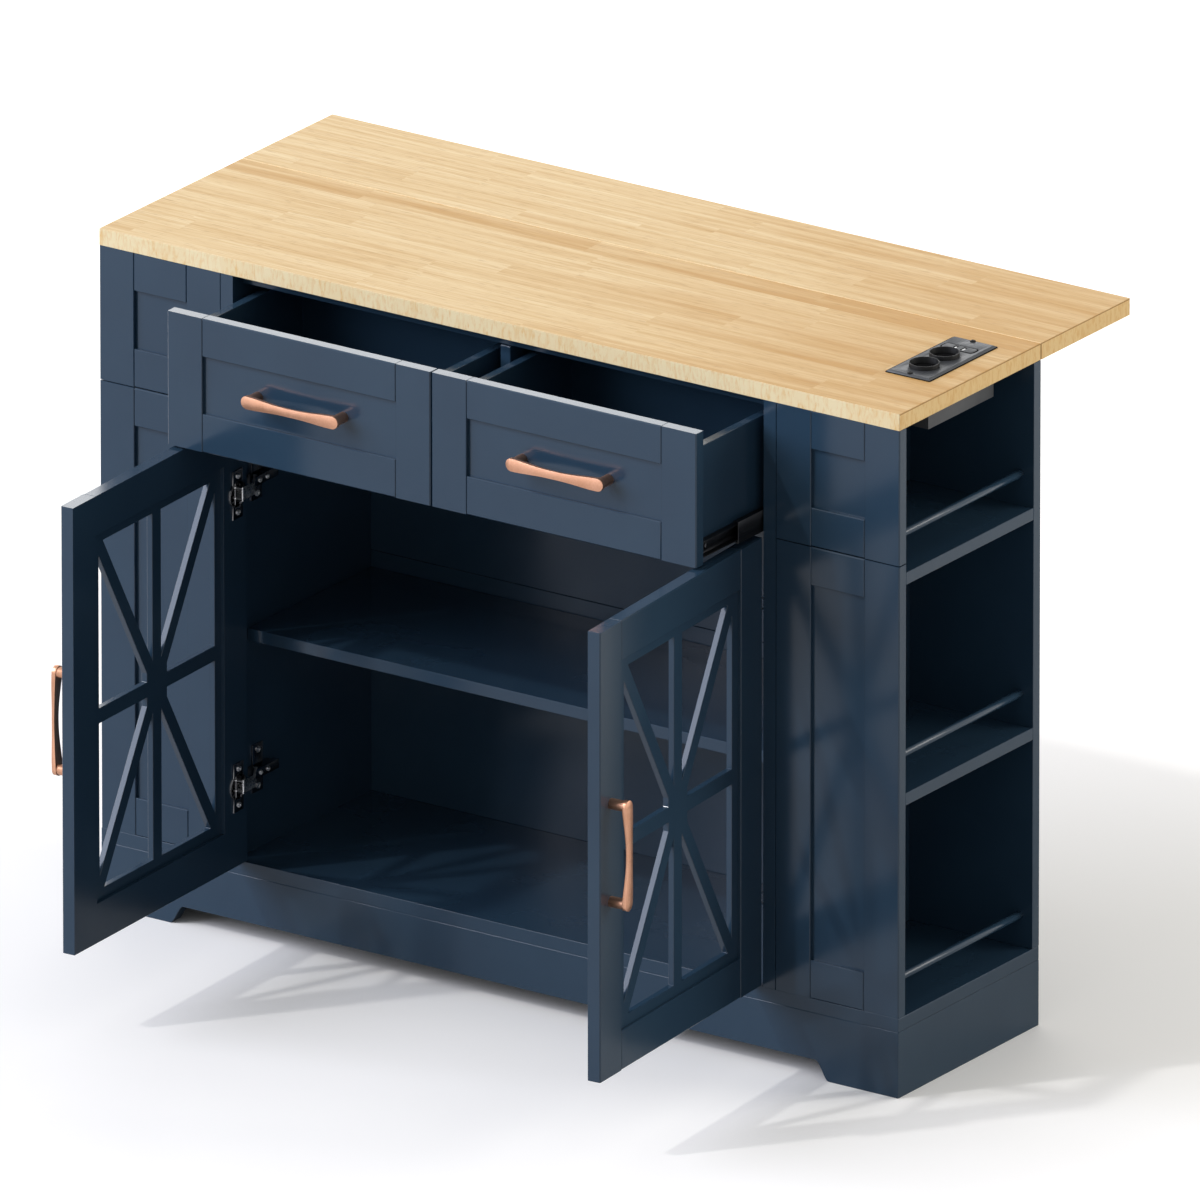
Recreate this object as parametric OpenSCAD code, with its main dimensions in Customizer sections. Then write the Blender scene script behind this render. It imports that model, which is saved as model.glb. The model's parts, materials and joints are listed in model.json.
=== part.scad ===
// Kitchen island: two open-ended towers, a pair of lattice doors under two drawers,
// a butcher-block worktop with a rear drop leaf, and a power unit let into the top.
// Millimetres. X runs to the right, Y to the back, Z up. The origin is on the floor
// under the middle of the cabinet.

/* [Overall] */
// Width of the cabinet and the worktop
island_w = 1200; // [1180:10:1260]
// Depth of the cabinet and the fixed worktop
island_d = 312; // [312:2:340]
// Height of the worktop's upper face
island_h = 900; // [890:5:920]
// Thickness of the worktop and the leaf
top_t = 22; // [20:1:25]
// Depth of the drop leaf
leaf_d = 198; // [196:1:230]

/* [Carcass] */
// Thickness of the carcass boards
board_t = 18; // [16:1:19]
// Thickness of the central back panels
back_t = 12; // [8:1:14]
// Thickness of the drawer divider
divider_t = 15; // [12:1:18]
// Height of the plinth boards
plinth_h = 87; // [80:1:95]
// Height of the shallow arch between the feet
arch_h = 25; // [18:1:32]
// Width of each foot beside the arch
foot_w = 104; // [90:2:130]
// Diameter of the centre support leg
leg_d = 40; // [30:2:50]

/* [Framed fronts] */
// Width of each tower front
tower_w = 184; // [180:1:190]
// Thickness of the tower fronts and backs
tower_t = 15; // [14:1:18]
// Width of the stiles
stile_w = 52; // [46:1:56]
// Width of the rails
rail_w = 50; // [44:1:54]
// Depth of the field below the frame
recess = 5; // [4:0.5:6]
// Thickness of the field panels
field_t = 5; // [4:0.5:6]
// Depth of the groove that holds a field
groove_d = 8; // [6:0.5:10]
// Easing on the inner front edges of stiles and rails
ease = 0.7; // [0.3:0.1:1]
// Easing on the outer front edges of framed fronts
outer_ease = 1.4; // [0.8:0.1:2]
// Width of the fine line where a rail meets a stile
joint_w = 0.5; // [0.3:0.1:0.8]

/* [Drawer row] */
// Height of the drawer fronts
drawer_front_h = 176; // [170:1:178]
// Thickness of the drawer fronts
drawer_front_t = 16; // [15:1:18]
// Gap round drawer fronts and doors
gap = 2; // [1.5:0.5:3]
// Thickness of the drawer box sides and back
box_t = 12; // [10:1:14]
// Height of the drawer box
box_h = 146; // [130:1:148]
// Length of the drawer box
box_l = 258; // [240:1:262]
// Thickness of the drawer bottom
base_t = 5; // [3:1:6]
// How far the left drawer stands open
left_drawer_out = 145; // [0:1:240]
// How far the right drawer stands open
right_drawer_out = 145; // [0:1:240]

/* [Drawer slides] */
// Length of a slide
slide_l = 250; // [220:10:250]
// Height of a slide
slide_h = 35; // [35:1:40]
// Thickness of a slide between cabinet and drawer
slide_t = 12.7; // [12.5:0.1:13]
// Sheet thickness of the slide members
slide_sheet = 1.2; // [1:0.1:1.4]

/* [Doors] */
// Thickness of the doors
door_t = 18; // [18:0.5:20]
// Height of the doors
door_h = 590; // [560:1:590]
// Thickness of the lattice panel
lattice_t = 8; // [6:0.5:8]
// Width of the lattice bars
bar_w = 20; // [16:1:24]
// Width of the lattice border inside the frame
border_w = 14; // [10:1:18]
// Opening angle of the left door
left_door_open = 88; // [0:1:100]
// Opening angle of the right door
right_door_open = 94; // [0:1:100]

/* [Hinges] */
// Diameter of the hinge cup
cup_d = 35; // [35:1:35]
// Depth of the hinge cup
cup_depth = 11.5; // [11:0.5:12]
// Distance of the cup centre from the door edge
cup_inset = 22.5; // [22:0.5:24]
// Height of the cup flange
flange_h = 64; // [60:1:68]
// Distance from the door top to the upper hinge
hinge_from_top = 96; // [80:1:120]
// Distance from the door bottom to the lower hinge
hinge_from_bottom = 106; // [80:1:120]

/* [Bow handles] */
// Length of a handle
handle_l = 145; // [130:1:160]
// Projection of a handle
handle_out = 28; // [24:1:32]
// Width of the handle at its round ends
handle_end_w = 16.5; // [15:0.5:20]
// Width of the handle at its middle
handle_mid_w = 10.5; // [9:0.5:13]
// Thickness of the bar at its ends
handle_end_t = 6; // [5:0.5:7]
// Thickness of the bar at its middle
handle_mid_t = 3.6; // [3:0.2:5]
// Rise of the bar from its ends to its middle
handle_rise = 2.4; // [1:0.2:4]
// Diameter of the two posts
post_d = 14; // [10:0.5:14]

/* [Shelves] */
// Height of the inner shelf's upper face
shelf_z = 404; // [360:1:440]
// Thickness of all shelves
shelf_t = 16; // [15:1:18]
// Upper face of the upper end shelf
end_shelf_hi = 688; // [660:1:700]
// Upper face of the lower end shelf
end_shelf_lo = 398; // [360:1:440]
// Diameter of the round guard rails
guard_d = 10; // [8:1:14]
// Distance of a guard rail from the open end
guard_inset = 19; // [14:1:30]
// Height of a guard rail over its shelf
guard_rise = 42; // [36:1:60]

/* [Power unit] */
// Distance of the unit's centre from the middle of the island
power_x = 532; // [520:1:532]
// Distance of the unit's centre behind the middle of the worktop
power_y = 37; // [0:1:50]
// Width of the trim plate
plate_w = 65; // [62:1:68]
// Length of the trim plate
plate_l = 150; // [148:1:156]
// Thickness of the trim plate
plate_t = 3.2; // [2.5:0.1:4]
// Depth of the housing below the worktop's upper face
housing_h = 64; // [56:1:70]
// Inner diameter of a socket well
well_d = 36; // [34:1:36]
// Distance between the two sockets
well_pitch = 44.5; // [42:0.5:46]
// Height of the socket collars over the plate
collar_h = 5.6; // [3:0.2:7]

/* [Leaf brackets] */
// Distance of each bracket from the middle of the island
bracket_x = 407; // [380:1:420]
// Distance of the leaf's hinge pin behind the cabinet and below the leaf
pin_off = 9; // [9:0.5:10]
// Distance from the hinge pin down to the brace pin
brace_drop = 70; // [60:1:80]
// Length of the brace between its pin and its tip
brace_l = 100; // [100:1:110]
// Length of the bracket arm
arm_l = 182; // [180:1:184]

/* [Hidden] */
$fn = 64;

NAVY = [0.13, 0.20, 0.29];
OAK = [0.88, 0.74, 0.52];
COPPER = [0.76, 0.50, 0.37];
STEEL = [0.75, 0.76, 0.78];
GRAPHITE = [0.16, 0.16, 0.17];
PLATE_GREY = [0.42, 0.43, 0.44];

// Levels and faces shared by several pieces
front_y = -island_d / 2;
back_y = island_d / 2;
half_w = island_w / 2;
under_z = island_h - top_t;
floor_z = plinth_h + board_t;
row_z = under_z - 178;
tower_in = half_w - tower_w;
bay_x = tower_in - board_t;
seam = 0.6;
hairline = 0.7;
joint_depth = 1.5;
deck_top = row_z - 1;
stretcher_z = under_z - shelf_t;
stretcher_w = 60;

// Doors: closed they fill the bay side by side; each turns about its front hinge corner
door_w = bay_x - gap;
hinge_x = bay_x - gap * 0.75;
door_z = row_z - 3 - door_h;
upper_hinge_z = door_z + door_h - hinge_from_top;
lower_hinge_z = door_z + hinge_from_bottom;
HINGE_Z = [lower_hinge_z, upper_hinge_z];

// Concealed hinge, in plan from the door's front hinge corner
link_u = 20;          // link pin from the door edge
link_w = 14;          // link pin behind the door face
link_reach = 50;      // link pin to far pin
arm_line = 10;        // line of the fixed arm, from the hinge corner
arm_y = [25, 76];     // fore and aft ends of the fixed arm
arm_half = 6;         // half height of the fixed arm
cheek_t = 1.5;
cheek_gap = 0.3;
link_bar = 3;
link_pin_r = 1.25;
LINK_PATH = [[0, 0], [11, -0.5], [12.8, 24.5], [0, link_reach]];

// Drawers
drawer_front_w = bay_x - gap * 1.5;
drawer_z = row_z;
box_z = row_z + 4;
slide_z = row_z + 1;
slot_w = bay_x - divider_t / 2;
box_w = slot_w - 2 * slide_t;
slot_mid = (bay_x + divider_t / 2) / 2;
slide_y = front_y + drawer_front_t + 4;

// Power unit
housing_w = plate_w - 7;
housing_l = plate_l - 6;
well_wall = 1;
well_top = island_h + plate_t + collar_h;
well_floor = island_h - 11;
WELL_Y = [for (s = [-1, 1]) power_y - 16 + s * well_pitch / 2];
usb_w = 46;
usb_l = 15;
usb_y = power_y + 39.5;
usb_corner = 4;
usb_gap = 0.5;
port = [5, 11.6];
port_pitch = 12.6;
screw_pitch = plate_l - 11;

// Leaf brackets: the hinge pin and the brace pin, in Y and Z
pin_y = back_y + pin_off;
pin_z = under_z - pin_off;
brace_z = pin_z - brace_drop;
brace_lean = acos(brace_drop / brace_l);
bracket_sheet = 1.5;
wall_half = 15;
arm_half_w = wall_half - bracket_sheet - 0.3;
brace_half = arm_half_w - bracket_sheet - 1.5;
brace_bar = 12;
pin_r = 2.5;
running = 0.05;

// ---------------------------------------------------------------- shared forms

// A board given by its ranges along X, Y and Z
module board(x, y, z) {
    translate([x[0], y[0], z[0]]) cube([x[1] - x[0], y[1] - y[0], z[1] - z[0]]);
}

// The same thing on the right as on the left
module both() {
    children();
    mirror([1, 0, 0]) children();
}

module right() {
    mirror([1, 0, 0]) children();
}

// Profile in Y and Z, drawn out along X from x0 to x1
module along_x(x0, x1) {
    translate([x0, 0, 0]) rotate([90, 0, 90]) linear_extrude(x1 - x0) children();
}

// Section of a stile or rail with eased front edges, its outer edge at the origin
module eased(w, t) {
    polygon([[outer_ease, 0], [w - ease, 0], [w, ease], [w, t], [0, t], [0, outer_ease]]);
}

// Cut for the line where the left ends of both rails meet a stile, in front and at the ends
module joint_line(w, h, t, rail) {
    for (z = [-1, h - rail]) translate([stile_w, 0, z]) linear_extrude(rail + 1)
        polygon([[0, -1], [joint_w + ease + 1, -1], [joint_w, ease], [joint_w, joint_depth],
                 [0, joint_depth]]);
    for (z = [-1, h - joint_depth])
        translate([stile_w, -1, z]) cube([joint_w, t + 2, 1 + joint_depth]);
}

// Frame of a framed front, low left front corner at the origin, grooved for its field
module panel_frame(w, h, t, rail, set_back, thick) {
    difference() {
        for (side = [0, 1]) translate([side * w, 0, 0]) mirror([side, 0, 0]) difference() {
            union() {
                linear_extrude(h) eased(stile_w, t);
                along_x(stile_w, w / 2) mirror([1, -1]) eased(rail, t);
                translate([0, 0, h]) mirror([0, 0, 1])
                    along_x(stile_w, w / 2) mirror([1, -1]) eased(rail, t);
            }
            joint_line(w, h, t, rail);
        }
        panel_field(w, h, rail, set_back, thick, 0.2);
    }
}

// Field or lattice blank that sits in the groove of a frame
module panel_field(w, h, rail, set_back, thick, slack = 0) {
    x_in = stile_w - groove_d - slack;
    z_in = rail - groove_d - slack;
    board([x_in, w - x_in], [set_back, set_back + thick], [z_in, h - z_in]);
}

// Straight bar of width w between two plan points, with round ends
module bar(a, b, w) {
    d = b - a;
    translate(a) rotate(atan2(d[1], d[0])) translate([0, -w / 2]) square([norm(d), w]);
    for (p = [a, b]) translate(p) circle(d = w);
}

// Smooth step from 0 to 1
function smooth(t) = t * t * (3 - 2 * t);

function unit(v) = v / norm(v);
function leg(path, i) = unit(path[i + 1] - path[i]);

// Edge point i of a strip along a path, on the side of w's sign, mitred at the corners
function strip_edge(path, i, w) =
    let (last = len(path) - 1, before = leg(path, max(i - 1, 0)), after = leg(path, min(i, last - 1)),
         mitre = unit(before + after), across = [-mitre[1], mitre[0]])
    path[i] + across * w / 2 / (mitre * before);

// Flat strip of width w along a plan path, with square ends
module ribbon(path, w) {
    last = len(path) - 1;
    polygon([for (i = [0:last]) strip_edge(path, i, w), for (i = [last:-1:0]) strip_edge(path, i, -w)]);
}

// ---------------------------------------------------------------- plinth and carcass

// Half of the arch outline, from the foot up to the level part
function arch_side(x0, run, n = 8) =
    [for (i = [0:n]) let (t = i / n) [x0 + run * t, arch_h * smooth(t)]];

module arch_outline() {
    x0 = half_w - foot_w;
    rise = arch_side(x0, -20);
    fall = [for (i = [len(rise) - 1:-1:0]) [-rise[i][0], rise[i][1]]];
    polygon(concat([[x0, -1]], rise, fall, [[-x0, -1]]));
}

// Long plinth board with mitred ends and the arch between its feet
module plinth_long() {
    difference() {
        linear_extrude(plinth_h)
            polygon([[-half_w, front_y], [half_w, front_y],
                     [half_w - board_t, front_y + board_t], [board_t - half_w, front_y + board_t]]);
        translate([0, front_y + board_t + 1, 0])
            rotate([90, 0, 0]) linear_extrude(board_t + 2) arch_outline();
    }
}

module plinth_front() {
    color(NAVY) plinth_long();
}

module plinth_back() {
    color(NAVY) mirror([0, 1, 0]) plinth_long();
}

module plinth_ends() {
    color(NAVY) both() linear_extrude(plinth_h)
        polygon([[-half_w, front_y], [board_t - half_w, front_y + board_t],
                 [board_t - half_w, back_y - board_t], [-half_w, back_y]]);
}

// Turned leg that carries the middle of the bottom board
module centre_leg() {
    foot = 12;
    color(NAVY) {
        cylinder(h = foot, d = leg_d + 14);
        translate([0, 0, foot]) cylinder(h = plinth_h - foot - 4, d = leg_d);
        translate([0, 0, plinth_h - 4]) cylinder(h = 4, d = leg_d + 20);
    }
}

module bottom_board() {
    color(NAVY) board([-half_w, half_w], [front_y, back_y], [plinth_h, floor_z]);
}

// Blind holes for the shelf pins, two in each side
SHELF_PIN_Y = [front_y + 60, back_y - 50];
shelf_pin_r = 2.45;

module side_left() {
    color(NAVY) difference() {
        board([-tower_in, -bay_x], [front_y, back_y], [floor_z, under_z]);
        for (y = SHELF_PIN_Y)
            translate([-bay_x - 10, y, shelf_z - shelf_t - shelf_pin_r])
                rotate([0, 90, 0]) cylinder(h = 11, r = shelf_pin_r + running);
    }
}

module side_right() {
    right() side_left();
}

module shelf_pins() {
    color(STEEL) both() for (y = SHELF_PIN_Y)
        translate([-bay_x - 9.5, y, shelf_z - shelf_t - shelf_pin_r])
            rotate([0, 90, 0]) cylinder(h = 17, r = shelf_pin_r);
}

module inner_shelf() {
    color(NAVY) board([1 - bay_x, bay_x - 1], [front_y + 28, back_y - back_t - 1],
                      [shelf_z - shelf_t, shelf_z]);
}

// The back comes in two boards that meet just above the shelf
module back_panels() {
    join_z = shelf_z + 21;
    color(NAVY) for (z = [[floor_z, join_z], [join_z + seam, under_z]])
        board([-bay_x, bay_x], [back_y - back_t, back_y], z);
}

module drawer_deck() {
    color(NAVY) board([-bay_x, bay_x], [front_y + door_t + 1, back_y - back_t],
                      [deck_top - board_t, deck_top]);
}

module drawer_divider() {
    color(NAVY) board([-divider_t / 2, divider_t / 2], [front_y + door_t, back_y - back_t],
                      [deck_top, stretcher_z]);
}

// Rails under the front and rear edges of the worktop
module top_stretchers() {
    y_front = front_y + drawer_front_t + 6;
    y_back = back_y - back_t;
    color(NAVY) for (y = [[y_front, y_front + stretcher_w], [y_back - stretcher_w, y_back]])
        board([-bay_x, bay_x], y, [stretcher_z, under_z]);
}

// ---------------------------------------------------------------- towers

upper_h = under_z - row_z - hairline;
lower_h = row_z - hairline - floor_z;

module tower_frame(z, h) {
    color(NAVY) translate([-half_w, front_y, z])
        panel_frame(tower_w, h, tower_t, rail_w, recess, field_t);
}

module tower_left_upper() {
    tower_frame(row_z + hairline, upper_h);
}

module tower_left_lower() {
    tower_frame(floor_z, lower_h);
}

module tower_right_upper() {
    right() tower_left_upper();
}

module tower_right_lower() {
    right() tower_left_lower();
}

module tower_fields() {
    color(NAVY) both() for (p = [[floor_z, lower_h], [row_z + hairline, upper_h]])
        translate([-half_w, front_y, p[0]])
            panel_field(tower_w, p[1], rail_w, recess, field_t);
}

module tower_back_left() {
    color(NAVY) board([-half_w, -tower_in], [back_y - tower_t, back_y], [floor_z, under_z]);
}

module tower_back_right() {
    right() tower_back_left();
}

module end_shelves_left() {
    color(NAVY) for (z = [end_shelf_lo, end_shelf_hi])
        board([-half_w, -tower_in], [front_y + tower_t, back_y - tower_t], [z - shelf_t, z]);
}

module end_shelves_right() {
    right() end_shelves_left();
}

// Round rails that keep things on the open end shelves
module guard_rails_left() {
    color(NAVY) for (z = [floor_z, end_shelf_lo, end_shelf_hi])
        translate([guard_inset - half_w, back_y - tower_t, z + guard_rise])
            rotate([90, 0, 0]) cylinder(h = island_d - 2 * tower_t, d = guard_d);
}

module guard_rails_right() {
    right() guard_rails_left();
}

// ---------------------------------------------------------------- worktop and power unit

module worktop() {
    cut_w = housing_w + 1;
    cut_l = housing_l + 1;
    color(OAK) difference() {
        board([-half_w, half_w], [front_y, back_y], [under_z, island_h]);
        translate([power_x - cut_w / 2, power_y - cut_l / 2, under_z - 1])
            cube([cut_w, cut_l, top_t + 2]);
    }
}

// Outline of the charging insert with its rounded corners
module insert_outline(slack) {
    x = usb_w / 2 + slack;
    y = usb_l / 2 + slack;
    square([2 * x, 2 * (y - usb_corner)], center = true);
    square([2 * (x - usb_corner), 2 * y], center = true);
    for (i = [-1, 1], j = [-1, 1])
        translate([i * (x - usb_corner), j * (y - usb_corner)]) circle(r = usb_corner);
}

// Cover plate with its four edges bevelled
module bevelled_plate(w, l, t, bevel) {
    intersection() {
        rotate([90, 0, 0]) translate([0, 0, -l / 2]) linear_extrude(l)
            polygon([[-w / 2, 0], [w / 2, 0], [w / 2, 0.6], [w / 2 - bevel, t],
                     [bevel - w / 2, t], [-w / 2, 0.6]]);
        along_x(-w / 2, w / 2)
            polygon([[-l / 2, 0], [l / 2, 0], [l / 2, 0.6], [l / 2 - bevel, t],
                     [bevel - l / 2, t], [-l / 2, 0.6]]);
    }
}

module at_plate() {
    translate([power_x, power_y, island_h]) children();
}

module power_plate() {
    color(PLATE_GREY) difference() {
        at_plate() bevelled_plate(plate_w, plate_l, plate_t, 3.5);
        for (y = WELL_Y)
            translate([power_x, y, island_h - 1]) cylinder(h = plate_t + 2, d = well_d + 2 * well_wall);
        translate([power_x, usb_y, island_h - 1]) linear_extrude(plate_t + 2) insert_outline(usb_gap);
        for (s = [-1, 1])
            at_plate() translate([0, s * screw_pitch / 2, -1]) cylinder(h = plate_t + 2, r = 2);
    }
}

// Countersunk screws through the plate into the worktop's housing
module plate_screws() {
    color(GRAPHITE) for (s = [-1, 1])
        at_plate() translate([0, s * screw_pitch / 2, 0]) {
            cylinder(h = plate_t, r = 1.95);
            translate([0, 0, plate_t]) cylinder(h = 0.8, r = 3.4);
        }
}

module power_housing() {
    color(GRAPHITE) difference() {
        at_plate() translate([-housing_w / 2, -housing_l / 2, -housing_h])
            cube([housing_w, housing_l, housing_h]);
        for (y = WELL_Y)
            translate([power_x, y, well_floor - 2])
                cylinder(h = housing_h, d = well_d + 2 * well_wall);
        translate([power_x, usb_y, island_h - 14]) linear_extrude(20) insert_outline(0);
    }
}

// Round socket wells whose collars stand over the plate
module socket_wells() {
    color(GRAPHITE) for (y = WELL_Y) translate([power_x, y, 0]) difference() {
        translate([0, 0, well_floor - 2])
            cylinder(h = well_top - well_floor + 2, d = well_d + 2 * well_wall);
        translate([0, 0, well_floor]) cylinder(h = 40, d = well_d);
        for (s = [-1, 1]) translate([0, s * 9.5, well_floor - 1.5]) cylinder(h = 3, r = 2.4);
    }
}

// Charging insert with two ports
module usb_module() {
    color(GRAPHITE) translate([power_x, usb_y, island_h]) difference() {
        translate([0, 0, -14]) linear_extrude(14 + plate_t + 0.4) insert_outline(0);
        for (s = [-1, 1]) translate([s * port_pitch / 2 - port[0] / 2, -port[1] / 2, -7])
            cube([port[0], port[1], 20]);
    }
}

// ---------------------------------------------------------------- slides

// Three nested C sections, in X from the cabinet wall and Z from the slide's lower edge
module slide_section(x_web, x_lip, inset) {
    s = slide_sheet;
    x_lo = min(x_web, x_lip);
    x_hi = max(x_web + s, x_lip);
    translate([x_web, inset]) square([s, slide_h - 2 * inset]);
    for (z = [inset, slide_h - inset - s]) translate([x_lo, z]) square([x_hi - x_lo, s]);
}

// A section drawn out from y0 over the slide's length, standing on the wall at x = 0
module slide_member(x_web, x_lip, inset, shift) {
    translate([0, slide_y + slide_l - shift, slide_z]) rotate([90, 0, 0])
        linear_extrude(slide_l) slide_section(x_web, x_lip, inset);
}

// The slide pair of the left drawer slot
module slide_pair() {
    translate([-bay_x, 0, 0]) children();
    translate([-divider_t / 2, 0, 0]) mirror([1, 0, 0]) children();
}

module slide_channels() {
    color(GRAPHITE) both() slide_pair() slide_member(0, slide_t - 3.2, 0, 0);
}

module slide_middles(out) {
    color(STEEL) slide_pair() slide_member(1.8, slide_t - 3.2, 3.4, out / 2);
}

// Drawer runner with the heads of its screws
module runners(out) {
    color(GRAPHITE) slide_pair() {
        slide_member(slide_t - slide_sheet, 3.8, 7, out);
        for (y = [14, slide_l / 2, slide_l - 20])
            translate([slide_t - slide_sheet, slide_y + y - out, slide_z + slide_h / 2])
                rotate([0, -90, 0]) cylinder(h = 1.6, r = 3.6);
    }
}

// ---------------------------------------------------------------- bow handle

// Side view of the bar: it bows out to the middle and thins towards it
module handle_side() {
    n = 14;
    half = handle_l / 2;
    outer = [for (i = [-n:n]) let (t = i / n) [half * t, handle_out - handle_rise * t * t]];
    inner = [for (i = [n:-1:-n]) let (t = i / n)
        [half * t, handle_out - handle_rise * t * t - handle_mid_t
                   - (handle_end_t - handle_mid_t) * smooth(abs(t))]];
    polygon(concat(outer, inner));
}

// Front view: waisted towards the middle, with round ends
module handle_front() {
    n = 12;
    end_r = handle_end_w / 2;
    reach = handle_l / 2 - end_r;
    edge = [for (i = [-n:n]) let (t = i / n)
        [reach * t, (handle_mid_w + (handle_end_w - handle_mid_w) * smooth(pow(abs(t), 1.3))) / 2]];
    polygon(concat(edge, [for (i = [2 * n:-1:0]) [edge[i][0], -edge[i][1]]]));
    for (s = [-1, 1]) translate([s * reach, 0]) circle(r = end_r);
}

// Handle lying along X, standing out towards -Y from y = 0 on two round posts
module bow_handle() {
    post_x = (handle_l - handle_end_w) / 2;
    post_h = handle_out - handle_rise - handle_end_t / 2;
    color(COPPER) {
        intersection() {
            translate([0, 0, -handle_end_w]) linear_extrude(2 * handle_end_w)
                mirror([0, 1]) handle_side();
            rotate([90, 0, 0]) linear_extrude(handle_out + 2) handle_front();
        }
        for (s = [-1, 1]) translate([s * post_x, 0, 0]) rotate([90, 0, 0])
            cylinder(h = post_h, d = post_d);
    }
}

// ---------------------------------------------------------------- doors

// Puts a left-hand door, drawn closed from its hinge corner, at its opening angle
module hang(angle) {
    translate([-hinge_x, front_y, 0]) rotate([0, 0, -angle]) children();
}

lattice_set = (door_t - lattice_t) / 2;

module door_frame() {
    color(NAVY) difference() {
        translate([0, 0, door_z])
            panel_frame(door_w, door_h, door_t, stile_w, lattice_set, lattice_t);
        for (z = HINGE_Z) translate([cup_inset, door_t - cup_depth, z])
            rotate([-90, 0, 0]) cylinder(h = cup_depth + 1, d = cup_d + 2 * running);
    }
}

// Flat of the lattice: border, cross, diagonals and the hub where they meet
module lattice_flat() {
    w = door_w - 2 * (stile_w - groove_d);
    h = door_h - 2 * (stile_w - groove_d);
    edge = groove_d + border_w;
    inner_w = w - 2 * edge;
    inner_h = h - 2 * edge;
    hub = 1.15 * bar_w;
    difference() {
        square([w, h]);
        translate([edge, edge]) square([inner_w, inner_h]);
    }
    intersection() {
        translate([groove_d, groove_d]) square([w - 2 * groove_d, h - 2 * groove_d]);
        translate([w / 2, h / 2]) {
            square([w, bar_w], center = true);
            square([bar_w, h], center = true);
            for (s = [-1, 1])
                rotate(s * atan2(inner_h, inner_w)) square([2 * h, bar_w * 0.9], center = true);
            polygon([[-hub, -hub * 1.5], [hub, -hub * 1.5], [hub, hub * 1.5], [-hub, hub * 1.5]]);
        }
    }
}

module door_lattice() {
    inset = stile_w - groove_d;
    color(NAVY) translate([inset, lattice_set + lattice_t, door_z + inset])
        rotate([90, 0, 0]) linear_extrude(lattice_t) lattice_flat();
}

module door_handle() {
    translate([door_w - stile_w / 2, 0, door_z + door_h / 2]) rotate([0, 90, 0]) bow_handle();
}

// Cup let into the door, with its flange, two screws and the link pin
module hinge_cup() {
    wall = 1.2;
    flange_t = 2;
    flange_w = 22;
    color(STEEL) translate([cup_inset, door_t, 0]) {
        difference() {
            union() {
                translate([-flange_w / 2, 0, -flange_h / 2]) cube([flange_w, flange_t, flange_h]);
                translate([0, -cup_depth, 0]) rotate([-90, 0, 0])
                    cylinder(h = cup_depth + flange_t, d = cup_d);
            }
            translate([0, -cup_depth + wall, 0]) rotate([-90, 0, 0])
                cylinder(h = cup_depth + 5, d = cup_d - 2 * wall);
        }
        for (s = [-1, 1]) translate([0, flange_t, s * 24]) rotate([-90, 0, 0])
            cylinder(h = 1.6, r = 3.6);
        translate([link_u - cup_inset, link_w - door_t, -arm_half - 10.4])
            cylinder(h = 2 * (arm_half + 10.4), r = link_pin_r);
    }
}

module hinge_cups() {
    for (z = HINGE_Z) translate([0, 0, z]) hinge_cup();
}

// Where the link pin lies in plan for an opening angle, from the hinge corner
function link_pin(a) = [link_u * cos(a) + link_w * sin(a), link_w * cos(a) - link_u * sin(a)];

// Lean of the link that puts its far pin on the arm's line
function link_lean(a) = asin((link_pin(a)[0] - arm_line) / link_reach);

// Cranked link: two cheeks that straddle the fixed arm, joined by a web as far as the crank
// and by a rivet at the knee
module hinge_link() {
    z_in = arm_half + cheek_gap;
    knee = LINK_PATH[1];
    crank = LINK_PATH[2];
    color(STEEL) {
        for (z = [-z_in - cheek_t, z_in]) translate([0, 0, z]) linear_extrude(cheek_t)
            difference() {
                union() {
                    ribbon(LINK_PATH, link_bar);
                    circle(r = link_pin_r + 1.4);
                    translate(LINK_PATH[3]) circle(r = link_pin_r + 1.2);
                }
                circle(r = link_pin_r + running);
            }
        translate([0, 0, -z_in]) linear_extrude(2 * z_in)
            ribbon([0.28 * knee, knee, crank, crank + 0.2 * (LINK_PATH[3] - crank)], link_bar - 0.6);
        translate([knee[0], knee[1], -z_in - cheek_t - 1.2])
            cylinder(h = 2 * (z_in + cheek_t + 1.2), r = 1.6);
    }
}

module hinge_links(angle) {
    p = link_pin(angle);
    for (z = HINGE_Z) translate([p[0] - hinge_x, p[1] + front_y, z])
        rotate([0, 0, link_lean(angle)]) hinge_link();
}

// Fixed side of each hinge: wall plate with its wings, screws and the arm
module hinge_arm() {
    wall_x = hinge_x - bay_x;
    plate = 2;
    color(STEEL) {
        translate([wall_x, 38, -32]) cube([plate, 22, 64]);
        translate([wall_x, 30, -arm_half]) cube([arm_line - 4 - wall_x, 40, 2 * arm_half]);
        translate([arm_line - 4, arm_y[0], -arm_half])
            cube([8, arm_y[1] - arm_y[0], 2 * arm_half]);
        for (s = [-1, 1]) translate([wall_x + plate, 49, s * 24]) rotate([0, 90, 0])
            cylinder(h = 1.8, r = 4);
        for (y = [36, 52]) translate([arm_line + 4, y, 0]) rotate([0, 90, 0])
            cylinder(h = 1.4, r = 3);
    }
}

module hinge_arms() {
    both() for (z = HINGE_Z) translate([-hinge_x, front_y, z]) hinge_arm();
}

module left_door_frame() {
    hang(left_door_open) door_frame();
}

module left_door_lattice() {
    hang(left_door_open) door_lattice();
}

module left_door_handle() {
    hang(left_door_open) door_handle();
}

module left_hinge_cups() {
    hang(left_door_open) hinge_cups();
}

module left_hinge_links() {
    hinge_links(left_door_open);
}

module right_door_frame() {
    right() hang(right_door_open) door_frame();
}

module right_door_lattice() {
    right() hang(right_door_open) door_lattice();
}

module right_door_handle() {
    right() hang(right_door_open) door_handle();
}

module right_hinge_cups() {
    right() hang(right_door_open) hinge_cups();
}

module right_hinge_links() {
    right() hinge_links(right_door_open);
}

// ---------------------------------------------------------------- drawers

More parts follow.
